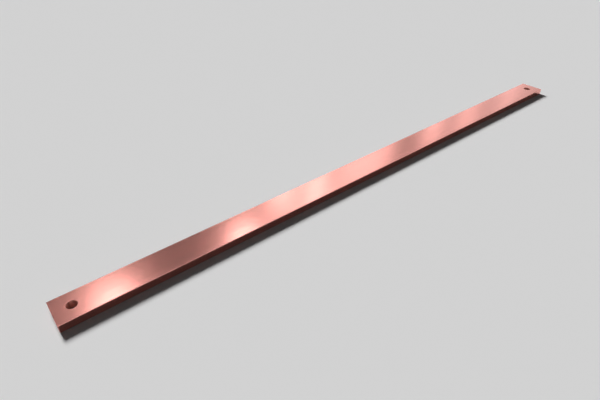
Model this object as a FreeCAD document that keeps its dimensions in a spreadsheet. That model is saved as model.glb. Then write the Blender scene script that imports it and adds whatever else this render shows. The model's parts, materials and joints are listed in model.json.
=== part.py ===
"""Flat copper bus bar: one drawn bar of rectangular section, drilled near each end for a terminal screw.

The bar lies flat. X runs along it, Y across it and Z up, and the origin is in the middle of its underside.
Sizes are in millimetres.
"""

import FreeCAD
import Part
import Sketcher
import enum
import math
import os

NODE_NAME = "bus_bar"
PARTS_FOLDER = "parts"
SHEET_NAME = "Sizes"

# Each driving dimension: its alias, its value and what it measures
DRIVING_DIMENSIONS = (
    ("bar_length", 470.0, "overall length, along X"),
    ("bar_width", 20.0, "width of the flat, along Y"),
    ("bar_thickness", 5.0, "thickness, along Z"),
    ("long_edge_radius", 0.3, "rounding that the drawing die leaves on the four long edges"),
    ("end_edge_break", 0.1, "chamfer that deburrs the edges round a sawn end"),
    ("hole_diameter", 6.0, "clearance hole for an M5 terminal screw"),
    ("hole_end_distance", 10.0, "from each end of the bar to the axis of the hole there"),
    ("hole_edge_break", 0.1, "chamfer that deburrs both mouths of a hole"),
)

HOLE_COUNT = 2
LENGTH_TOLERANCE = 1e-6
VOLUME_TOLERANCE = 1e-3


class Axis(enum.IntEnum):
    """Numbers by which a sketch knows its own axes. Both start at the sketch's origin."""

    ALONG = -1
    UP = -2


class Point(enum.IntEnum):
    """Numbers by which a sketch knows the points of a line or circle."""

    START = 1
    END = 2
    CENTRE = 3


def size(alias):
    """Expression that reads one driving dimension from the sheet."""
    return f"{SHEET_NAME}.{alias}"


def make_size_sheet(doc):
    """Spreadsheet with one row for each driving dimension: what it measures, then its value."""
    sheet = doc.addObject("Spreadsheet::Sheet", SHEET_NAME)
    for row, (alias, value, meaning) in enumerate(DRIVING_DIMENSIONS, start=1):
        sheet.set(f"A{row}", meaning)
        sheet.set(f"B{row}", str(value))
        sheet.setAlias(f"B{row}", alias)
    doc.recompute()
    return sheet


def origin_plane(body, role):
    """One of the body's own reference planes."""
    return next(feature for feature in body.Origin.OriginFeatures if feature.Role == role)


def new_sketch(body, name, plane_role):
    """Empty sketch on one of the body's reference planes."""
    sketch = body.newObject("Sketcher::SketchObject", name)
    sketch.AttachmentSupport = [(origin_plane(body, plane_role), "")]
    sketch.MapMode = "FlatFace"
    return sketch


def constrain(sketch, kind, *items):
    """Add one geometric rule to a sketch, and give its number there."""
    return sketch.addConstraint(Sketcher.Constraint(kind, *items))


def add_dimension(sketch, name, expression, kind, *items):
    """Add a named dimension to a sketch, tied to the driving dimensions."""
    number = constrain(sketch, kind, *items)
    sketch.renameConstraint(number, name)
    sketch.setExpression(f"Constraints.{name}", expression)


def edge_names(feature, is_wanted):
    """Names of the feature's edges that pass a test."""
    return [f"Edge{number}" for number, edge in enumerate(feature.Shape.Edges, start=1) if is_wanted(edge)]


def draw_section(body, sheet):
    """Rectangular section of the bar, standing on Z = 0 and centred on the bar's axis."""
    sketch = new_sketch(body, "Section", "YZ_Plane")
    width = sheet.bar_width
    thickness = sheet.bar_thickness
    corners = [
        FreeCAD.Vector(-width / 2, 0, 0),
        FreeCAD.Vector(width / 2, 0, 0),
        FreeCAD.Vector(width / 2, thickness, 0),
        FreeCAD.Vector(-width / 2, thickness, 0),
    ]
    sides = [
        sketch.addGeometry(Part.LineSegment(start, end), False)
        for start, end in zip(corners, corners[1:] + corners[:1])
    ]
    underside, right_side, top, left_side = sides
    for side, next_side in zip(sides, sides[1:] + sides[:1]):
        constrain(sketch, "Coincident", side, Point.END, next_side, Point.START)
    constrain(sketch, "PointOnObject", underside, Point.START, Axis.ALONG)
    constrain(sketch, "Symmetric", underside, Point.START, underside, Point.END, Axis.UP)
    constrain(sketch, "Horizontal", top)
    constrain(sketch, "Vertical", right_side)
    constrain(sketch, "Vertical", left_side)

    across = ("DistanceX", underside, Point.START, underside, Point.END, width)
    upwards = ("DistanceY", right_side, Point.START, right_side, Point.END, thickness)
    add_dimension(sketch, "across", size("bar_width"), *across)
    add_dimension(sketch, "upwards", size("bar_thickness"), *upwards)
    return sketch


def draw_bar(doc, body, sheet):
    """The drawn bar: its section carried to both ends, with the long edges rounded."""
    section = draw_section(body, sheet)
    bar = body.newObject("PartDesign::Pad", "DrawnBar")
    bar.Profile = section
    bar.SideType = "Symmetric"
    bar.setExpression("Length", size("bar_length"))
    doc.recompute()

    def is_long_edge(edge):
        return abs(edge.BoundBox.XLength - sheet.bar_length) < LENGTH_TOLERANCE

    rounding = body.newObject("PartDesign::Fillet", "LongEdgeRounding")
    rounding.Base = (bar, edge_names(bar, is_long_edge))
    rounding.setExpression("Radius", size("long_edge_radius"))
    doc.recompute()
    return rounding


def deburr_ends(doc, body, sheet, bar):
    """A small chamfer all round both sawn ends."""

    def is_end_edge(edge):
        from_end_plane = abs(abs(edge.BoundBox.Center.x) - sheet.bar_length / 2)
        return edge.BoundBox.XLength < LENGTH_TOLERANCE and from_end_plane < LENGTH_TOLERANCE

    deburred = body.newObject("PartDesign::Chamfer", "EndDeburring")
    deburred.Base = (bar, edge_names(bar, is_end_edge))
    deburred.setExpression("Size", size("end_edge_break"))
    doc.recompute()
    return deburred


def draw_hole_circle(body, sheet):
    """Circle of the hole near the +X end, on the bar's top face and on its centre line."""
    sketch = new_sketch(body, "HoleCircle", "XY_Plane")
    sketch.setExpression("AttachmentOffset.Base.z", size("bar_thickness"))
    centre = FreeCAD.Vector(sheet.bar_length / 2 - sheet.hole_end_distance, 0, 0)
    upwards = FreeCAD.Vector(0, 0, 1)
    circle = sketch.addGeometry(Part.Circle(centre, upwards, sheet.hole_diameter / 2), False)
    constrain(sketch, "PointOnObject", circle, Point.CENTRE, Axis.ALONG)

    from_middle = ("DistanceX", Axis.ALONG, Point.START, circle, Point.CENTRE, centre.x)
    hole_place = f"{size('bar_length')} / 2 - {size('hole_end_distance')}"
    add_dimension(sketch, "from_middle", hole_place, *from_middle)
    add_dimension(sketch, "diameter", size("hole_diameter"), "Diameter", circle, sheet.hole_diameter)
    return sketch


def drill_holes(doc, body, sheet):
    """A hole through the bar near one end, and its mirror image near the other."""
    circle = draw_hole_circle(body, sheet)
    doc.recompute()
    hole = body.newObject("PartDesign::Hole", "TerminalHole")
    hole.Profile = circle
    hole.DepthType = "ThroughAll"
    hole.DrillPoint = "Flat"
    hole.setExpression("Diameter", size("hole_diameter"))
    doc.recompute()

    both_holes = body.newObject("PartDesign::Mirrored", "TerminalHoles")
    both_holes.Originals = [hole]
    both_holes.MirrorPlane = (origin_plane(body, "YZ_Plane"), [""])
    body.Tip = both_holes
    doc.recompute()
    return both_holes


def deburr_holes(doc, body, sheet, drilled_bar):
    """A small chamfer round both mouths of each hole."""

    def is_hole_mouth(edge):
        is_circle = isinstance(edge.Curve, Part.Circle)
        return is_circle and abs(edge.Curve.Radius - sheet.hole_diameter / 2) < LENGTH_TOLERANCE

    deburred = body.newObject("PartDesign::Chamfer", "HoleDeburring")
    deburred.Base = (drilled_bar, edge_names(drilled_bar, is_hole_mouth))
    deburred.setExpression("Size", size("hole_edge_break"))
    doc.recompute()
    return deburred


def check_drilling(sheet, bar, drilled_bar):
    """Stop unless both holes went right through the bar."""
    hole_volume = math.pi * sheet.hole_diameter**2 / 4 * sheet.bar_thickness
    expected = HOLE_COUNT * hole_volume
    taken_out = bar.Shape.Volume - drilled_bar.Shape.Volume
    if abs(taken_out - expected) > VOLUME_TOLERANCE:
        raise RuntimeError(f"drilling took out {taken_out:.3f} mm3 where the holes hold {expected:.3f}")


def check_document(doc, body):
    """Stop if any object failed to compute, or the bar isn't one sound solid."""
    failed = [item.Name for item in doc.Objects if {"Invalid", "Error"} & set(item.State)]
    if failed:
        raise RuntimeError(f"these objects failed to compute: {', '.join(failed)}")
    shape = body.Shape
    if shape.isNull() or not shape.isValid() or len(shape.Solids) != 1:
        raise RuntimeError(f"{body.Label} isn't one valid solid")


def main():
    doc = FreeCAD.newDocument("BusBar")
    sheet = make_size_sheet(doc)
    body = doc.addObject("PartDesign::Body", "BusBar")
    body.Label = NODE_NAME
    body.Placement = FreeCAD.Placement()

    bar = draw_bar(doc, body, sheet)
    cut_bar = deburr_ends(doc, body, sheet, bar)
    drilled_bar = drill_holes(doc, body, sheet)
    check_drilling(sheet, cut_bar, drilled_bar)
    deburr_holes(doc, body, sheet, drilled_bar)
    check_document(doc, body)

    os.makedirs(PARTS_FOLDER, exist_ok=True)
    body.Shape.exportStep(os.path.join(PARTS_FOLDER, f"{body.Label}.step"))
    print(f"{body.Label}: {body.Shape.BoundBox}, volume {body.Shape.Volume:.3f} mm3")


main()
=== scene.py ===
"""Copper bus bar: a drawn flat bar with sawn ends and a drilled hole near each end, on a plain pale floor.

Lengths are in metres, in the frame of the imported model: X along the bar, Y across it and Z up.
"""

import json
import math
from typing import NamedTuple

import bpy
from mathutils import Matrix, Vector


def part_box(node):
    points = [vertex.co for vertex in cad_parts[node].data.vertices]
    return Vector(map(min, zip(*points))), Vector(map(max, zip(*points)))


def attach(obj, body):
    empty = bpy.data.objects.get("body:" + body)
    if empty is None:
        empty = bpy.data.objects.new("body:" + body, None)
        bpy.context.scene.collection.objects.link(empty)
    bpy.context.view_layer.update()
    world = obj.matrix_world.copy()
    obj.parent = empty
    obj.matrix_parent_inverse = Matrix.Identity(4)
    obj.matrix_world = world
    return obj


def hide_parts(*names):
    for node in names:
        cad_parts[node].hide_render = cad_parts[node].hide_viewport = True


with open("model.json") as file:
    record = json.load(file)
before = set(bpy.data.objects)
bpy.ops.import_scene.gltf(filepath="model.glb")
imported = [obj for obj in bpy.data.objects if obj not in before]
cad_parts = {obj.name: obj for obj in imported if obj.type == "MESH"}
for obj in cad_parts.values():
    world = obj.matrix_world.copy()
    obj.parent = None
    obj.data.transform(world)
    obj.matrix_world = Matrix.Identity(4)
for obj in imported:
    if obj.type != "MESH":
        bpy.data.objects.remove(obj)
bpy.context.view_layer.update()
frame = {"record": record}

bl_info = {
    "name": "Copper Bus Bar",
    "version": (1, 0, 0),
    "blender": (4, 5, 0),
    "location": "3D View > Sidebar > Bus Bar",
    "description": "Builds a flat copper bus bar with drawn, sawn and drilled finishes, and its studio stage",
    "category": "Add Mesh",
}

MILLIMETRE = 0.001

BAR_NODE = "bus_bar"
BAR_BODY = "root"

# The bar's sizes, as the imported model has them
BAR_LOW, BAR_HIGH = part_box(BAR_NODE)
BAR_LENGTH, BAR_WIDTH, BAR_THICKNESS = BAR_HIGH - BAR_LOW
HOLE = next(mount for mount in frame["record"]["mounts"] if mount["name"] == "right_hole")
HOLE_DIAMETER = 2 * HOLE["dims"]["r_mm"] * MILLIMETRE
HOLE_END_DISTANCE = BAR_HIGH.x - HOLE["pos_m"][0]
HOLE_COUNT = 2

# Each end block of the bar has a hole in its middle. Rings run round the hole inside the block's inner
# square, which takes this share of the block's length and width.
INNER_SHARE = 0.5
SQUARE_SIDES = 4
QUARTER_TURN = math.pi / 2

# How finely the bar is divided: cells across its width, rings from an end block's inner square to its hole,
# cells along the stretch between the end blocks, and facets round an edge
CELLS_ACROSS = 32
HOLE_RINGS = 4
CELLS_ALONG = 48
ROUNDING_FACETS = 6
BREAK_FACETS = 2
MERGE_DISTANCE = 1e-6
SHARP_ANGLE = math.radians(60)
BEVEL_WEIGHT = "bevel_weight_edge"


class BarSizes(bpy.types.PropertyGroup):
    """Sizes of the bar."""

    length: bpy.props.FloatProperty(
        name="Length", description="Overall length of the bar", default=BAR_LENGTH, unit="LENGTH"
    )
    width: bpy.props.FloatProperty(
        name="Width", description="Width of the flat", default=BAR_WIDTH, unit="LENGTH"
    )
    thickness: bpy.props.FloatProperty(
        name="Thickness", description="Thickness of the bar", default=BAR_THICKNESS, unit="LENGTH"
    )
    hole_diameter: bpy.props.FloatProperty(
        name="Hole diameter", description="Bore of the terminal holes", default=HOLE_DIAMETER, unit="LENGTH"
    )
    hole_end_distance: bpy.props.FloatProperty(
        name="Hole to end",
        description="From an end of the bar to the axis of the hole there",
        default=HOLE_END_DISTANCE,
        unit="LENGTH",
    )
    long_edge_radius: bpy.props.FloatProperty(
        name="Long edge radius",
        description="Rounding that the drawing die leaves on the four long edges",
        default=0.3 * MILLIMETRE,
        unit="LENGTH",
    )
    edge_break: bpy.props.FloatProperty(
        name="Edge break",
        description="Deburring of the sawn ends and the hole mouths",
        default=0.1 * MILLIMETRE,
        unit="LENGTH",
    )


class CopperFinish(bpy.types.PropertyGroup):
    """Colours and gloss of the copper."""

    clean: bpy.props.FloatVectorProperty(
        name="Clean copper",
        description="Colour of the clean metal",
        subtype="COLOR",
        default=(0.95, 0.405, 0.35),
    )
    dull: bpy.props.FloatVectorProperty(
        name="Dull copper",
        description="Colour where the metal has begun to oxidise",
        subtype="COLOR",
        default=(0.86, 0.345, 0.29),
    )
    # Besides fresh metal, this lighter bore colour is painted highlight: it draws the light streak down the
    # near bore's wall.
    fresh_and_highlight: bpy.props.FloatVectorProperty(
        name="Fresh copper",
        description="Colour of newly cut metal in the bores",
        subtype="COLOR",
        default=(0.97, 0.56, 0.48),
    )
    # Besides drag marks, this darker bore colour is painted shade: it darkens the far bore's wall.
    scored_and_shade: bpy.props.FloatVectorProperty(
        name="Scored copper",
        description="Colour of the drag marks that the drill leaves in the bores",
        subtype="COLOR",
        default=(0.5, 0.2, 0.15),
    )
    drawn_roughness: bpy.props.FloatProperty(
        name="Drawn roughness", description="Roughness of the drawn faces", subtype="FACTOR", default=0.17
    )
    sawn_roughness: bpy.props.FloatProperty(
        name="Sawn roughness", description="Roughness of the sawn ends", subtype="FACTOR", default=0.34
    )
    drilled_roughness: bpy.props.FloatProperty(
        name="Drilled roughness", description="Roughness of the bores", subtype="FACTOR", default=0.6
    )


class StudioSettings(bpy.types.PropertyGroup):
    """Floor and light of the stage."""

    floor_colour: bpy.props.FloatVectorProperty(
        name="Floor colour", description="Colour of the floor", subtype="COLOR", default=(0.85, 0.85, 0.85)
    )
    key: bpy.props.FloatProperty(
        name="Key light", description="Strength of the slanting light on the floor", default=4.1
    )
    fill: bpy.props.FloatProperty(
        name="Fill light", description="Strength of the even light all round", default=0.045
    )
    backdrop: bpy.props.FloatProperty(
        name="Backdrop",
        description="Paleness of the backdrop beyond the floor",
        subtype="FACTOR",
        default=0.634,
    )
    lamp_distance: bpy.props.FloatProperty(
        name="Lamp distance",
        description="From the camera's image in the bar's top face to each softbox",
        default=4.0,
        unit="LENGTH",
    )


def feed(tree, socket, value):
    """Give an input a value, or a link from an output."""
    if isinstance(value, bpy.types.NodeSocket):
        tree.links.new(value, socket)
    else:
        socket.default_value = value


def add_node(tree, kind, inputs=None, **settings):
    """New node in a tree, with its settings made and its inputs fed, each by its name or number."""
    node = tree.nodes.new(kind)
    for name, value in settings.items():
        setattr(node, name, value)
    for key, value in (inputs or {}).items():
        feed(tree, node.inputs[key], value)
    return node


def maths(tree, operation, *operands):
    """Result of a Math node on values or outputs."""
    return add_node(tree, "ShaderNodeMath", dict(enumerate(operands)), operation=operation).outputs["Value"]


def vector_maths(tree, operation, *operands):
    """Result of a Vector Math node on vectors or outputs."""
    node = add_node(tree, "ShaderNodeVectorMath", dict(enumerate(operands)), operation=operation)
    return node.outputs["Vector"]


def length(tree, vector):
    """Length of a vector output."""
    return add_node(tree, "ShaderNodeVectorMath", {0: vector}, operation="LENGTH").outputs["Value"]


def combine(tree, x=0.0, y=0.0, z=0.0):
    """Vector put together from three values or outputs."""
    return add_node(tree, "ShaderNodeCombineXYZ", {"X": x, "Y": y, "Z": z}).outputs["Vector"]


def split(tree, vector):
    """The three values of a vector output."""
    node = add_node(tree, "ShaderNodeSeparateXYZ", {"Vector": vector})
    return node.outputs["X"], node.outputs["Y"], node.outputs["Z"]


def new_group(kind, name, inputs, outputs):
    """New node group with named inputs and outputs. Gives the tree, what it is fed, and its last node."""
    tree = bpy.data.node_groups.new(name, kind)
    for socket_name, socket_kind in inputs.items():
        tree.interface.new_socket(name=socket_name, in_out="INPUT", socket_type=socket_kind)
    for socket_name, socket_kind in outputs.items():
        tree.interface.new_socket(name=socket_name, in_out="OUTPUT", socket_type=socket_kind)
    entry = tree.nodes.new("NodeGroupInput")
    last = tree.nodes.new("NodeGroupOutput")
    return tree, entry.outputs, last


def both(tree, first, second):
    """True where both conditions are."""
    node = add_node(tree, "FunctionNodeBooleanMath", {0: first, 1: second}, operation="AND")
    return node.outputs["Boolean"]


def less(tree, value, limit):
    """True where a value is under a limit."""
    node = add_node(tree, "FunctionNodeCompare", {0: value, 1: limit}, operation="LESS_THAN")
    return node.outputs["Result"]


def more(tree, value, limit):
    """True where a value is over a limit."""
    node = add_node(tree, "FunctionNodeCompare", {0: value, 1: limit}, operation="GREATER_THAN")
    return node.outputs["Result"]


def position(tree):
    """Where each point of the mesh is."""
    return add_node(tree, "GeometryNodeInputPosition").outputs["Position"]


def join(tree, *meshes):
    """Meshes joined into one, with the points that meet made one."""
    joined = tree.nodes.new("GeometryNodeJoinGeometry")
    for mesh in meshes:
        tree.links.new(mesh, joined.inputs["Geometry"])
    merged = add_node(
        tree,
        "GeometryNodeMergeByDistance",
        {"Geometry": joined.outputs["Geometry"], "Distance": MERGE_DISTANCE},
    )
    return merged.outputs["Geometry"]


def square_outline(tree, turn):
    """Point on the outline of a square of half side 1. One turn is one side, from the corner at +X, -Y."""
    half_round = SQUARE_SIDES / 2

    def zigzag(lead):
        """Runs from -1 to 1 and back, and waits for one side at each end."""
        wave = maths(tree, "PINGPONG", maths(tree, "ADD", turn, lead), half_round)
        centred = maths(tree, "MULTIPLY_ADD", wave, 2.0, -half_round)
        return maths(tree, "MINIMUM", maths(tree, "MAXIMUM", centred, -1.0), 1.0)

    y_lead = 0.5
    x_lead = y_lead + 1.0
    return combine(tree, zigzag(x_lead), zigzag(y_lead))


def hole_ring(tree, sizes, inner_x, inner_y):
    """Flat patch between the inner square of an end block and the edge of its hole.

    It starts as a grid of size 1 about the origin: X becomes the way round, and Y the way in to the hole.
    """
    around = maths(tree, "MULTIPLY_ADD", sizes["Cells Across"], SQUARE_SIDES * INNER_SHARE, 1.0)
    inwards = maths(tree, "ADD", sizes["Hole Rings"], 1.0)
    grid = add_node(
        tree,
        "GeometryNodeMeshGrid",
        {"Size X": 1.0, "Size Y": 1.0, "Vertices X": around, "Vertices Y": inwards},
    )
    grid_x, grid_y, _ = split(tree, position(tree))
    turn = maths(tree, "MULTIPLY_ADD", grid_x, SQUARE_SIDES, SQUARE_SIDES / 2)
    share_inwards = maths(tree, "ADD", grid_y, 0.5)
    on_square = vector_maths(tree, "MULTIPLY", square_outline(tree, turn), combine(tree, inner_x, inner_y))

    angle = maths(tree, "MULTIPLY_ADD", turn, QUARTER_TURN, -QUARTER_TURN / 2)
    radius = maths(tree, "MULTIPLY", sizes["Hole Diameter"], 0.5)
    hole_x = maths(tree, "MULTIPLY", maths(tree, "COSINE", angle), radius)
    hole_y = maths(tree, "MULTIPLY", maths(tree, "SINE", angle), radius)
    to_hole = vector_maths(tree, "SUBTRACT", combine(tree, hole_x, hole_y), on_square)
    part_way = vector_maths(tree, "MULTIPLY", to_hole, combine(tree, share_inwards, share_inwards))
    place = vector_maths(tree, "ADD", on_square, part_way)
    moved = add_node(tree, "GeometryNodeSetPosition", {"Geometry": grid.outputs["Mesh"], "Position": place})
    return moved.outputs["Geometry"]


def end_block(tree, sizes):
    """Flat patch at one end of the bar: a grid without its inner square, and the ring that fills that."""
    vertices = maths(tree, "ADD", sizes["Cells Across"], 1.0)
    block_length = maths(tree, "MULTIPLY", sizes["Hole End Distance"], 2.0)
    grid = add_node(
        tree,
        "GeometryNodeMeshGrid",
        {"Size X": block_length, "Size Y": sizes["Width"], "Vertices X": vertices, "Vertices Y": vertices},
    )
    inner_x = maths(tree, "MULTIPLY", sizes["Hole End Distance"], INNER_SHARE)
    inner_y = maths(tree, "MULTIPLY", sizes["Width"], INNER_SHARE / 2)
    cell_x, cell_y, _ = split(tree, vector_maths(tree, "ABSOLUTE", position(tree)))
    in_square = both(tree, less(tree, cell_x, inner_x), less(tree, cell_y, inner_y))
    opened = add_node(
        tree,
        "GeometryNodeDeleteGeometry",
        {"Geometry": grid.outputs["Mesh"], "Selection": in_square},
        domain="FACE",
    )
    return join(tree, opened.outputs["Geometry"], hole_ring(tree, sizes, inner_x, inner_y))


def bar_outline(tree, sizes):
    """The whole bar in plan: an end block round each hole, and the plain stretch between them."""
    half_length = maths(tree, "MULTIPLY", sizes["Length"], 0.5)
    hole_place = maths(tree, "SUBTRACT", half_length, sizes["Hole End Distance"])
    hole_spacing = maths(tree, "MULTIPLY", hole_place, 2.0)
    holes = add_node(
        tree,
        "GeometryNodeMeshLine",
        {
            "Count": HOLE_COUNT,
            "Start Location": combine(tree, maths(tree, "MULTIPLY", hole_place, -1.0)),
            "Offset": combine(tree, hole_spacing),
        },
    )
    blocks = add_node(
        tree,
        "GeometryNodeInstanceOnPoints",
        {"Points": holes.outputs["Mesh"], "Instance": end_block(tree, sizes)},
    )
    both_blocks = add_node(tree, "GeometryNodeRealizeInstances", {"Geometry": blocks.outputs["Instances"]})
    block_lengths = maths(tree, "MULTIPLY", sizes["Hole End Distance"], 2.0 * HOLE_COUNT)
    middle = add_node(
        tree,
        "GeometryNodeMeshGrid",
        {
            "Size X": maths(tree, "SUBTRACT", sizes["Length"], block_lengths),
            "Size Y": sizes["Width"],
            "Vertices X": maths(tree, "ADD", sizes["Cells Along"], 1.0),
            "Vertices Y": maths(tree, "ADD", sizes["Cells Across"], 1.0),
        },
    )
    return join(tree, both_blocks.outputs["Geometry"], middle.outputs["Mesh"])


def mark_long_edges(tree, sizes, mesh):
    """Bevel weight on the four long edges, which the die has rounded."""
    ends = add_node(tree, "GeometryNodeInputMeshEdgeVertices")
    _, y_1, z_1 = split(tree, ends.outputs["Position 1"])
    _, y_2, z_2 = split(tree, ends.outputs["Position 2"])
    side = maths(tree, "MULTIPLY_ADD", sizes["Width"], 0.5, -MERGE_DISTANCE)
    nearer = maths(tree, "MINIMUM", maths(tree, "ABSOLUTE", y_1), maths(tree, "ABSOLUTE", y_2))
    rise = maths(tree, "ABSOLUTE", maths(tree, "SUBTRACT", z_1, z_2))
    is_long_edge = both(tree, more(tree, nearer, side), less(tree, rise, MERGE_DISTANCE))
    marked = add_node(
        tree,
        "GeometryNodeStoreNamedAttribute",
        {"Geometry": mesh, "Name": BEVEL_WEIGHT, "Value": is_long_edge},
        data_type="FLOAT",
        domain="EDGE",
    )
    return marked.outputs["Geometry"]


def set_finishes(tree, sizes, mesh):
    """The drawn finish all over, the sawn one on the ends and the drilled one in the bores."""
    x, y, _ = split(tree, vector_maths(tree, "ABSOLUTE", position(tree)))
    half_length = maths(tree, "MULTIPLY", sizes["Length"], 0.5)
    at_end = more(tree, x, maths(tree, "SUBTRACT", half_length, MERGE_DISTANCE))
    hole_place = maths(tree, "SUBTRACT", half_length, sizes["Hole End Distance"])
    from_hole = length(tree, combine(tree, maths(tree, "SUBTRACT", x, hole_place), y))
    in_bore = less(tree, from_hole, maths(tree, "MULTIPLY_ADD", sizes["Hole Diameter"], 0.5, MERGE_DISTANCE))

    for finish, selection in (("Drawn Finish", True), ("Sawn Finish", at_end), ("Drilled Finish", in_bore)):
        painted = add_node(
            tree,
            "GeometryNodeSetMaterial",
            {"Geometry": mesh, "Selection": selection, "Material": sizes[finish]},
        )
        mesh = painted.outputs["Geometry"]
    return mesh


def drilled_bar_tree():
    """Geometry nodes of the bar: its plan, carried up to its thickness and closed underneath."""
    tree, sizes, last = new_group(
        "GeometryNodeTree",
        "Drilled bar",
        {
            "Length": "NodeSocketFloat",
            "Width": "NodeSocketFloat",
            "Thickness": "NodeSocketFloat",
            "Hole Diameter": "NodeSocketFloat",
            "Hole End Distance": "NodeSocketFloat",
            "Cells Across": "NodeSocketInt",
            "Cells Along": "NodeSocketInt",
            "Hole Rings": "NodeSocketInt",
            "Drawn Finish": "NodeSocketMaterial",
            "Sawn Finish": "NodeSocketMaterial",
            "Drilled Finish": "NodeSocketMaterial",
        },
        {"Mesh": "NodeSocketGeometry"},
    )
    plan = bar_outline(tree, sizes)
    upper = add_node(
        tree,
        "GeometryNodeExtrudeMesh",
        {"Mesh": plan, "Offset": (0.0, 0.0, 1.0), "Offset Scale": sizes["Thickness"], "Individual": False},
    )
    underside = add_node(tree, "GeometryNodeFlipFaces", {"Mesh": plan})
    closed = join(tree, upper.outputs["Mesh"], underside.outputs["Mesh"])
    marked = mark_long_edges(tree, sizes, closed)
    smooth = add_node(tree, "GeometryNodeSetShadeSmooth", {"Geometry": marked})
    realized = add_node(tree, "GeometryNodeRealizeInstances", {"Geometry": smooth.outputs["Geometry"]})
    finished = set_finishes(tree, sizes, realized.outputs["Geometry"])
    tree.links.new(finished, last.inputs["Mesh"])
    return tree


def run_tree(piece, tree, values):
    """Add a geometry nodes modifier to a piece, with its inputs set by name."""
    modifier = piece.modifiers.new(tree.name, "NODES")
    modifier.node_group = tree
    for item in tree.interface.items_tree:
        if item.in_out == "INPUT":
            modifier[item.identifier] = values[item.name]


def soften_edges(piece, sizes):
    """Round the long edges, break the edges of the ends and holes, and keep the flats flat in the shading."""
    rounding = piece.modifiers.new("Die rounding", "BEVEL")
    rounding.limit_method = "WEIGHT"
    rounding.width = sizes.long_edge_radius
    rounding.segments = ROUNDING_FACETS
    rounding.use_clamp_overlap = False
    rounding.face_strength_mode = "FSTR_ALL"

    deburring = piece.modifiers.new("Deburring", "BEVEL")
    deburring.limit_method = "ANGLE"
    deburring.angle_limit = SHARP_ANGLE
    deburring.width = sizes.edge_break
    deburring.segments = BREAK_FACETS
    deburring.use_clamp_overlap = False
    deburring.face_strength_mode = "FSTR_NEW"

    flats = piece.modifiers.new("Flat faces", "WEIGHTED_NORMAL")
    flats.mode = "CORNER_ANGLE"
    flats.use_face_influence = True


def bake(piece):
    """Turn what a piece's modifiers make into its own plain mesh."""
    evaluated = piece.evaluated_get(bpy.context.evaluated_depsgraph_get())
    mesh = bpy.data.meshes.new_from_object(evaluated)
    mesh.name = piece.name
    piece.modifiers.clear()
    piece.data = mesh


# Clouds of duller metal: how broken up they are, and the noise values between which the metal turns dull
CLOUD_DETAIL = 5.0
CLOUD_ROUGHNESS = 0.6
CLOUD_EDGE = (0.36, 0.68)

# Tool marks: how broken up the fine ones are, and the bands among them, with their fineness as a share of
# the fine marks' own, the noise values between which a band rises, and its height beside the fine marks
MARK_DETAIL = 3.0
MARK_ROUGHNESS = 0.65
BAND_FINENESS = 0.21
BAND_EDGE = (0.3, 0.7)
BAND_HEIGHT = 0.35

# Rubbed edges: how quickly the rubbing changes along them, in pattern units for each millimetre, how broken
# up it is, the noise values between which it grows, and its least and most
RUB_FINENESS = 0.25
RUB_DETAIL = 4.0
RUB_EDGE = (0.3, 0.7)
RUB_RANGE = (0.35, 1.0)

# Hairlines: their directions in degrees, their stretch in pattern units for each millimetre, how broken up
# they are, the noise values between which a line shows, and the same for the patches that they lie in
HAIRLINE_DIRECTIONS = (12.0, -21.0, 68.0)
HAIRLINE_STRETCH = (0.06, 3.0, 1.0)
HAIRLINE_DETAIL = 1.0
HAIRLINE_EDGE = (0.66, 0.72)
PATCH_FINENESS = 0.06
PATCH_EDGE = (0.45, 0.6)

# How far a rubbed edge goes towards clean metal, and what each effect adds to the roughness
EDGE_BRIGHTENING = 0.6
CLOUD_ROUGHENING = 0.05
HAIRLINE_ROUGHENING = 0.12
EDGE_ROUGHENING = -0.05


def place_group(tree, group, inputs):
    """The outputs of a node group that is placed in a material with its own values."""
    return add_node(tree, "ShaderNodeGroup", inputs, node_tree=group).outputs


def mapped(tree, vector, **changes):
    """A vector output moved, turned or stretched."""
    return add_node(tree, "ShaderNodeMapping", {"Vector": vector, **changes}).outputs["Vector"]


def noise(tree, vector, scale, detail=2.0, roughness=0.5):
    """Value of a noise texture."""
    node = add_node(
        tree,
        "ShaderNodeTexNoise",
        {"Vector": vector, "Scale": scale, "Detail": detail, "Roughness": roughness},
    )
    return node.outputs["Fac"]


def remap(tree, value, from_range, to_range=(0.0, 1.0)):
    """Value eased from one range to another."""
    node = add_node(
        tree,
        "ShaderNodeMapRange",
        {
            "Value": value,
            "From Min": from_range[0],
            "From Max": from_range[1],
            "To Min": to_range[0],
            "To Max": to_range[1],
        },
        interpolation_type="SMOOTHSTEP",
    )
    return node.outputs["Result"]


def mix_colours(tree, factor, first, second):
    """Colour between two, by a factor."""
    node = add_node(tree, "ShaderNodeMix", data_type="RGBA")
    sockets = {socket.identifier: socket for socket in (*node.inputs, *node.outputs)}
    for identifier, value in (("Factor_Float", factor), ("A_Color", first), ("B_Color", second)):
        feed(tree, sockets[identifier], value)
    return sockets["Result_Color"]


def tone_group():
    """Clouds of slightly duller metal. In the bores the same clouds are the light and dark patches that paint
    highlight and shade.
    """
    tree, fed, last = new_group(
        "ShaderNodeTree",
        "Copper tone",
        {
            "Vector": "NodeSocketVector",
            "Clean": "NodeSocketColor",
            "Dull": "NodeSocketColor",
            "Amount": "NodeSocketFloat",
        },
        {"Colour": "NodeSocketColor", "Dullness": "NodeSocketFloat"},
    )
    clouds = noise(tree, fed["Vector"], 1.0, CLOUD_DETAIL, CLOUD_ROUGHNESS)
    dullness = maths(tree, "MULTIPLY", remap(tree, clouds, CLOUD_EDGE), fed["Amount"])
    tree.links.new(mix_colours(tree, dullness, fed["Clean"], fed["Dull"]), last.inputs["Colour"])
    tree.links.new(dullness, last.inputs["Dullness"])
    return tree


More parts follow.
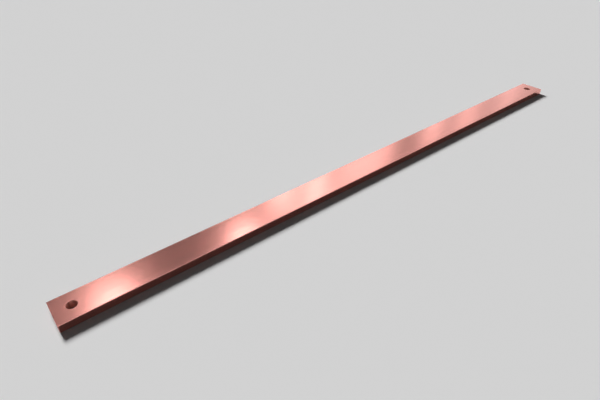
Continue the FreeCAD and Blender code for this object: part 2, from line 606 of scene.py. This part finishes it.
def tool_mark_group():
    """Fine parallel marks that a tool leaves. The vector fed in is already stretched along the marks."""
    tree, fed, last = new_group(
        "ShaderNodeTree",
        "Tool marks",
        {"Vector": "NodeSocketVector", "Fineness": "NodeSocketFloat"},
        {"Height": "NodeSocketFloat", "Band": "NodeSocketFloat"},
    )
    fine = noise(tree, fed["Vector"], fed["Fineness"], MARK_DETAIL, MARK_ROUGHNESS)
    band_fineness = maths(tree, "MULTIPLY", fed["Fineness"], BAND_FINENESS)
    band = remap(tree, noise(tree, fed["Vector"], band_fineness), BAND_EDGE)
    height = maths(tree, "MULTIPLY_ADD", band, BAND_HEIGHT, fine)
    tree.links.new(height, last.inputs["Height"])
    tree.links.new(band, last.inputs["Band"])
    return tree


def rubbed_edge_group():
    """Mask of an edge that handling has rubbed, uneven along its length."""
    tree, fed, last = new_group(
        "ShaderNodeTree",
        "Rubbed edge",
        {"Vector": "NodeSocketVector", "Distance": "NodeSocketFloat", "Reach": "NodeSocketFloat"},
        {"Mask": "NodeSocketFloat"},
    )
    uneven = remap(tree, noise(tree, fed["Vector"], RUB_FINENESS, RUB_DETAIL), RUB_EDGE, RUB_RANGE)
    share = maths(tree, "DIVIDE", fed["Distance"], maths(tree, "MULTIPLY", fed["Reach"], uneven))
    mask = maths(tree, "MULTIPLY", remap(tree, share, (0.0, 1.0), (1.0, 0.0)), uneven)
    tree.links.new(mask, last.inputs["Mask"])
    return tree


def hairline_group():
    """Faint hairline scratches in three directions, broken into short lengths."""
    tree, fed, last = new_group(
        "ShaderNodeTree",
        "Hairlines",
        {"Vector": "NodeSocketVector", "Amount": "NodeSocketFloat"},
        {"Mask": "NodeSocketFloat"},
    )
    lines = None
    for degrees in HAIRLINE_DIRECTIONS:
        turned = add_node(
            tree,
            "ShaderNodeVectorRotate",
            {"Vector": fed["Vector"], "Axis": (0.0, 0.0, 1.0), "Angle": math.radians(degrees)},
        )
        stretched = vector_maths(tree, "MULTIPLY", turned.outputs["Vector"], HAIRLINE_STRETCH)
        line = remap(tree, noise(tree, stretched, 1.0, HAIRLINE_DETAIL), HAIRLINE_EDGE)
        lines = line if lines is None else maths(tree, "MAXIMUM", lines, line)
    patches = remap(tree, noise(tree, fed["Vector"], PATCH_FINENESS), PATCH_EDGE)
    mask = maths(tree, "MULTIPLY", maths(tree, "MULTIPLY", lines, patches), fed["Amount"])
    tree.links.new(mask, last.inputs["Mask"])
    return tree


class Effects(NamedTuple):
    """The shader node groups that the finishes share."""

    tone: bpy.types.NodeTree
    tool_marks: bpy.types.NodeTree
    rubbed_edge: bpy.types.NodeTree
    hairlines: bpy.types.NodeTree


class Finish(NamedTuple):
    """How one way of cutting the metal shows.

    Stretches are in pattern units for each millimetre, and depths and reaches in millimetres.
    """

    name: str
    clean: tuple
    dull: tuple
    roughness: float
    tone_stretch: tuple
    tone_amount: float
    mark_stretch: tuple
    mark_fineness: float
    mark_depth: float
    band_roughness: float
    edge_reach: float
    tone_shift: tuple = (0.0, 0.0, 0.0)
    mark_turn: tuple = (0.0, 0.0, 0.0)
    hairline_amount: float = 0.0


def edge_distance(tree, millimetres, sizes):
    """Distance in millimetres from the nearest long edge."""
    _, y, z = split(tree, millimetres)
    half_width = sizes.width / 2 / MILLIMETRE
    half_thickness = sizes.thickness / 2 / MILLIMETRE
    from_side = maths(tree, "SUBTRACT", half_width, maths(tree, "ABSOLUTE", y))
    from_middle = maths(tree, "ABSOLUTE", maths(tree, "SUBTRACT", z, half_thickness))
    from_flat = maths(tree, "SUBTRACT", half_thickness, from_middle)
    return length(tree, combine(tree, from_side, from_flat))


def copper_material(finish, effects, sizes):
    """Procedural copper for one way of cutting it."""
    material = bpy.data.materials.new(finish.name)
    material.use_nodes = True
    tree = material.node_tree
    shader = tree.nodes["Principled BSDF"]
    shader.inputs["Metallic"].default_value = 1.0

    clean = (*finish.clean, 1.0)
    dull = (*finish.dull, 1.0)
    to_millimetres = (1 / MILLIMETRE,) * 3
    place = mapped(tree, tree.nodes.new("ShaderNodeTexCoord").outputs["Object"], Scale=to_millimetres)
    in_clouds = mapped(tree, place, Location=finish.tone_shift, Scale=finish.tone_stretch)
    along_marks = mapped(tree, place, Rotation=finish.mark_turn, Scale=finish.mark_stretch)
    from_edge = edge_distance(tree, place, sizes)

    tone = place_group(
        tree,
        effects.tone,
        {"Vector": in_clouds, "Clean": clean, "Dull": dull, "Amount": finish.tone_amount},
    )
    marks = place_group(tree, effects.tool_marks, {"Vector": along_marks, "Fineness": finish.mark_fineness})
    edge = place_group(
        tree,
        effects.rubbed_edge,
        {"Vector": place, "Distance": from_edge, "Reach": finish.edge_reach},
    )
    hairlines = place_group(tree, effects.hairlines, {"Vector": place, "Amount": finish.hairline_amount})

    bright_edge = maths(tree, "MULTIPLY", edge["Mask"], EDGE_BRIGHTENING)
    colour = mix_colours(tree, bright_edge, tone["Colour"], clean)
    tree.links.new(colour, shader.inputs["Base Color"])

    banded = maths(tree, "MULTIPLY_ADD", marks["Band"], finish.band_roughness, finish.roughness)
    clouded = maths(tree, "MULTIPLY_ADD", tone["Dullness"], CLOUD_ROUGHENING, banded)
    scratched = maths(tree, "MULTIPLY_ADD", hairlines["Mask"], HAIRLINE_ROUGHENING, clouded)
    rubbed = maths(tree, "MULTIPLY_ADD", edge["Mask"], EDGE_ROUGHENING, scratched)
    tree.links.new(rubbed, shader.inputs["Roughness"])

    height = maths(tree, "SUBTRACT", marks["Height"], hairlines["Mask"])
    depth = finish.mark_depth * MILLIMETRE
    relief = add_node(tree, "ShaderNodeBump", {"Height": height, "Strength": 1.0, "Distance": depth})
    tree.links.new(relief.outputs["Normal"], shader.inputs["Normal"])
    return material


# How the marks of each way of cutting are stretched, how far the saw leaned from upright, and the shift that
# sets where the light and dark drag marks fall round the bores, chosen so that they paint a highlight streak
# in the near bore and shade in the far one
DRAWN_ALONG = (0.004, 1.0, 1.0)
SAWN_ACROSS = (1.0, 1.0, 0.03)
DRILLED_ROUND = (0.1, 0.1, 1.0)
SAW_LEAN = math.radians(9.0)
BORE_LIGHT_AND_SHADE_SHIFT = 116.5


def copper_finishes(colours, sizes):
    """The three finishes of the bar."""
    effects = Effects(tone_group(), tool_mark_group(), rubbed_edge_group(), hairline_group())
    drawn = Finish(
        name="Drawn copper",
        clean=colours.clean,
        dull=colours.dull,
        roughness=colours.drawn_roughness,
        tone_stretch=(0.012, 0.06, 0.06),
        tone_amount=0.35,
        mark_stretch=DRAWN_ALONG,
        mark_fineness=2.2,
        mark_depth=0.002,
        band_roughness=0.02,
        edge_reach=0.6,
        hairline_amount=0.2,
    )
    sawn = Finish(
        name="Sawn copper",
        clean=colours.clean,
        dull=colours.dull,
        roughness=colours.sawn_roughness,
        tone_stretch=(0.1, 0.1, 0.1),
        tone_amount=0.8,
        mark_stretch=SAWN_ACROSS,
        mark_fineness=1.8,
        mark_depth=0.06,
        band_roughness=0.08,
        edge_reach=0.6,
        mark_turn=(SAW_LEAN, 0.0, 0.0),
    )
    # In the bores the light and dark patches are partly drag marks and partly painted highlight and painted
    # shade
    drilled = Finish(
        name="Drilled copper",
        clean=colours.fresh_and_highlight,
        dull=colours.scored_and_shade,
        roughness=colours.drilled_roughness,
        tone_stretch=(0.65, 0.65, 0.04),
        tone_amount=1.0,
        mark_stretch=DRILLED_ROUND,
        mark_fineness=3.0,
        mark_depth=0.02,
        band_roughness=0.08,
        edge_reach=0.5,
        tone_shift=(BORE_LIGHT_AND_SHADE_SHIFT, 0.0, 0.0),
    )
    return [copper_material(finish, effects, sizes) for finish in (drawn, sawn, drilled)]


class BUSBAR_OT_copper_bar(bpy.types.Operator):
    """Add the copper bar with a hole near each end"""

    bl_idname = "busbar.copper_bar"
    bl_label = "Copper bar"

    def execute(self, context):
        sizes = context.scene.bus_bar_sizes
        drawn, sawn, drilled = copper_finishes(context.scene.bus_bar_copper, sizes)
        bar = bpy.data.objects.new("copper_bar", bpy.data.meshes.new("copper_bar"))
        context.collection.objects.link(bar)
        run_tree(
            bar,
            drilled_bar_tree(),
            {
                "Length": sizes.length,
                "Width": sizes.width,
                "Thickness": sizes.thickness,
                "Hole Diameter": sizes.hole_diameter,
                "Hole End Distance": sizes.hole_end_distance,
                "Cells Across": CELLS_ACROSS,
                "Cells Along": CELLS_ALONG,
                "Hole Rings": HOLE_RINGS,
                "Drawn Finish": drawn,
                "Sawn Finish": sawn,
                "Drilled Finish": drilled,
            },
        )
        soften_edges(bar, sizes)
        bake(bar)
        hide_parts(BAR_NODE)
        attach(bar, BAR_BODY)
        return {"FINISHED"}


# The camera stands near the left end of the bar and looks along it, down to the floor
CAMERA_PLACE = Vector((-0.23254, -0.196728, 0.18745))
CAMERA_LOOK = Vector((0.50807, 0.62650, -0.59107))
CAMERA_LENS = 27.263
SENSOR_WIDTH = 36.0

# The floor lies a hair under the bar. The metal doesn't mirror floor that is nearer to it than this reach.
FLOOR_SIZE = 60.0
FLOOR_GAP = 0.02 * MILLIMETRE
UNDERSIDE_REACH = 0.06 * MILLIMETRE

# Soft upper edge of the backdrop that the metal mirrors: where it starts and ends, as sines of the angle up
# from level
BACKDROP_EDGE = (0.36, 0.5)
WHITE = (1.0, 1.0, 1.0, 1.0)

# The key light: its direction in degrees, from +X towards +Y and up from level, and how wide it looks
KEY_AZIMUTH = 90.0
KEY_ELEVATION = 33.0
KEY_SPREAD = 16.0


class Softbox(NamedTuple):
    """One flat lamp that shines on the metal.

    The angles are in degrees, as the camera sees the lamp mirrored in the bar's top face: where its middle
    is, from +X towards +Y and up from level, and how wide and high it looks. A brightness of 1 is white.
    """

    name: str
    azimuth: float
    elevation: float
    width: float
    height: float
    brightness: float


# First the lamps whose highlights the camera sees on the top face, then those for views from low down and
# from above, then a ring for the views from other sides, and last the dim walls behind them all
SOFTBOXES = (
    Softbox("Near softbox", 82.0, 49.5, 4.0, 13.0, 5.5),
    Softbox("Middle softbox", 60.0, 48.5, 3.0, 18.0, 5.5),
    Softbox("Low softbox", 54.0, 30.0, 3.5, 16.0, 2.5),
    Softbox("Slim softbox", 48.5, 36.0, 2.5, 22.0, 2.5),
    Softbox("Right softbox", 41.5, 32.0, 6.5, 18.0, 1.25),
    Softbox("First strip", 33.0, 30.0, 1.5, 18.0, 1.6),
    Softbox("Second strip", 29.0, 38.0, 1.5, 32.0, 1.4),
    Softbox("Far softbox", 25.0, 19.0, 1.5, 25.0, 0.6),
    Softbox("Low left softbox", 104.0, 12.0, 7.0, 18.0, 0.6),
    Softbox("Low middle softbox", 84.0, 12.0, 7.0, 18.0, 0.6),
    Softbox("Low right softbox", 64.0, 12.0, 7.0, 18.0, 0.6),
    Softbox("Overhead softbox", 90.0, 90.0, 70.0, 50.0, 0.6),
    Softbox("Back left softbox", 145.0, 28.0, 20.0, 36.0, 1.2),
    Softbox("Left softbox", 180.0, 28.0, 14.0, 36.0, 0.9),
    Softbox("Front left softbox", 215.0, 28.0, 20.0, 36.0, 0.8),
    Softbox("Front softbox", 270.0, 28.0, 24.0, 36.0, 0.7),
    Softbox("Front right softbox", 325.0, 28.0, 20.0, 36.0, 0.8),
    Softbox("Right end softbox", 354.0, 28.0, 12.0, 36.0, 0.8),
    Softbox("Back right wall", 60.0, 34.0, 80.0, 50.0, 0.1),
    Softbox("Back left wall", 142.0, 34.0, 80.0, 50.0, 0.1),
    Softbox("Front left wall", 222.0, 34.0, 80.0, 50.0, 0.1),
    Softbox("Front right wall", 302.0, 34.0, 80.0, 50.0, 0.1),
)


def aim(thing, backwards):
    """Turn a lamp or camera, which look along their own -Z, to face against a direction."""
    thing.rotation_mode = "QUATERNION"
    thing.rotation_quaternion = backwards.to_track_quat("Z", "Y")


def direction(azimuth, elevation):
    """Direction of length 1, by two angles in degrees: from +X towards +Y, and up from level."""
    level = math.cos(math.radians(elevation))
    turn = math.radians(azimuth)
    return Vector((level * math.cos(turn), level * math.sin(turn), math.sin(math.radians(elevation))))


def before_floor(tree):
    """1 on a ray that hasn't met the matt floor yet, and 0 on one that has."""
    bounces = tree.nodes.new("ShaderNodeLightPath").outputs["Diffuse Depth"]
    return maths(tree, "LESS_THAN", bounces, 1.0)


def add_key(context, settings):
    """Slanting soft light on the floor, which gives the bar its shadow."""
    lamp = bpy.data.lights.new("Key light", "SUN")
    lamp.energy = settings.key
    lamp.angle = math.radians(KEY_SPREAD)
    holder = bpy.data.objects.new("Key light", lamp)
    holder.visible_glossy = False
    aim(holder, direction(KEY_AZIMUTH, KEY_ELEVATION))
    context.collection.objects.link(holder)


def add_softbox(context, softbox, centre, distance):
    """Hang one softbox round a centre. The metal throws none of its light on to the floor."""
    outwards = direction(softbox.azimuth, softbox.elevation)
    lamp = bpy.data.lights.new(softbox.name, "AREA")
    lamp.shape = "RECTANGLE"
    lamp.size = 2 * distance * math.tan(math.radians(softbox.width) / 2)
    lamp.size_y = 2 * distance * math.tan(math.radians(softbox.height) / 2)
    lamp.energy = softbox.brightness * math.pi * lamp.size * lamp.size_y
    lamp.use_nodes = True
    tree = lamp.node_tree
    tree.links.new(before_floor(tree), tree.nodes["Emission"].inputs["Strength"])
    holder = bpy.data.objects.new(softbox.name, lamp)
    holder.location = centre + outwards * distance
    holder.visible_camera = False
    holder.visible_diffuse = False
    aim(holder, outwards)
    context.collection.objects.link(holder)


def add_floor(context, settings):
    """A wide plain matt floor under the bar, which can be seen through from below."""
    mesh = bpy.data.meshes.new("floor")
    half = FLOOR_SIZE / 2
    corners = [(x, y, -FLOOR_GAP) for x, y in ((-half, -half), (half, -half), (half, half), (-half, half))]
    mesh.from_pydata(corners, [], [(0, 1, 2, 3)])
    floor = bpy.data.objects.new("floor", mesh)
    context.collection.objects.link(floor)

    material = bpy.data.materials.new("Pale floor")
    material.use_nodes = True
    tree = material.node_tree
    shader = tree.nodes["Principled BSDF"]
    shader.inputs["Base Color"].default_value = (*settings.floor_colour, 1.0)
    shader.inputs["Roughness"].default_value = 1.0
    shader.inputs["Specular IOR Level"].default_value = 0.0
    from_below = tree.nodes.new("ShaderNodeNewGeometry").outputs["Backfacing"]
    path = tree.nodes.new("ShaderNodeLightPath")
    is_close = maths(tree, "LESS_THAN", path.outputs["Ray Length"], UNDERSIDE_REACH)
    in_underside = maths(tree, "MULTIPLY", path.outputs["Is Glossy Ray"], is_close)
    is_clear = maths(tree, "MAXIMUM", from_below, in_underside)
    clear = tree.nodes.new("ShaderNodeBsdfTransparent").outputs["BSDF"]
    one_sided = add_node(tree, "ShaderNodeMixShader", {0: is_clear, 1: shader.outputs["BSDF"], 2: clear})
    tree.links.new(one_sided.outputs["Shader"], tree.nodes["Material Output"].inputs["Surface"])
    mesh.materials.append(material)


def add_world(context, settings):
    """A pale backdrop for the camera and the metal to see, and dim even light for the rest."""
    world = bpy.data.worlds.new("Studio")
    world.use_nodes = True
    tree = world.node_tree
    coordinates = tree.nodes.new("ShaderNodeTexCoord")
    _, _, height = split(tree, coordinates.outputs["Generated"])
    backdrop = remap(tree, height, BACKDROP_EDGE, (1.0, 0.0))
    path = tree.nodes.new("ShaderNodeLightPath").outputs
    by_metal = maths(tree, "MAXIMUM", path["Is Glossy Ray"], path["Is Transmission Ray"])
    in_metal = maths(tree, "MULTIPLY", by_metal, before_floor(tree))
    share = maths(tree, "MAXIMUM", path["Is Camera Ray"], maths(tree, "MULTIPLY", in_metal, backdrop))
    light = maths(tree, "MULTIPLY_ADD", share, settings.backdrop - settings.fill, settings.fill)
    tree.links.new(light, tree.nodes["Background"].inputs["Strength"])
    tree.nodes["Background"].inputs["Color"].default_value = WHITE
    context.scene.world = world


def add_camera(context):
    """The camera at the viewing angle of the picture."""
    lens = bpy.data.cameras.new("camera")
    lens.lens = CAMERA_LENS
    lens.sensor_width = SENSOR_WIDTH
    lens.clip_start = MILLIMETRE
    camera = bpy.data.objects.new("camera", lens)
    camera.location = CAMERA_PLACE
    aim(camera, -CAMERA_LOOK)
    context.collection.objects.link(camera)
    context.scene.camera = camera


class BUSBAR_OT_stage(bpy.types.Operator):
    """Add the floor, the light and the camera"""

    bl_idname = "busbar.stage"
    bl_label = "Studio stage"

    def execute(self, context):
        settings = context.scene.bus_bar_studio
        add_floor(context, settings)
        add_world(context, settings)
        add_key(context, settings)
        camera_image = CAMERA_PLACE.copy()
        camera_image.z = 2 * BAR_HIGH.z - CAMERA_PLACE.z
        for softbox in SOFTBOXES:
            add_softbox(context, softbox, camera_image, settings.lamp_distance)
        add_camera(context)
        context.scene.view_settings.view_transform = "Standard"
        return {"FINISHED"}


class BUSBAR_PT_panel(bpy.types.Panel):
    """Sizes, colours and steps of the bus bar"""

    bl_idname = "BUSBAR_PT_panel"
    bl_label = "Copper Bus Bar"
    bl_space_type = "VIEW_3D"
    bl_region_type = "UI"
    bl_category = "Bus Bar"

    def draw(self, context):
        scene = context.scene
        for settings in (scene.bus_bar_sizes, scene.bus_bar_copper, scene.bus_bar_studio):
            column = self.layout.column(align=True)
            for name in settings.__annotations__:
                column.prop(settings, name)
        for operator in (BUSBAR_OT_copper_bar, BUSBAR_OT_stage):
            self.layout.operator(operator.bl_idname)


CLASSES = (BarSizes, CopperFinish, StudioSettings, BUSBAR_OT_copper_bar, BUSBAR_OT_stage, BUSBAR_PT_panel)


def register():
    for cls in CLASSES:
        bpy.utils.register_class(cls)
    bpy.types.Scene.bus_bar_sizes = bpy.props.PointerProperty(type=BarSizes)
    bpy.types.Scene.bus_bar_copper = bpy.props.PointerProperty(type=CopperFinish)
    bpy.types.Scene.bus_bar_studio = bpy.props.PointerProperty(type=StudioSettings)


def unregister():
    del bpy.types.Scene.bus_bar_studio
    del bpy.types.Scene.bus_bar_copper
    del bpy.types.Scene.bus_bar_sizes
    for cls in reversed(CLASSES):
        bpy.utils.unregister_class(cls)


def main():
    register()
    bpy.ops.busbar.copper_bar()
    bpy.ops.busbar.stage()


if __name__ == "__main__":
    main()
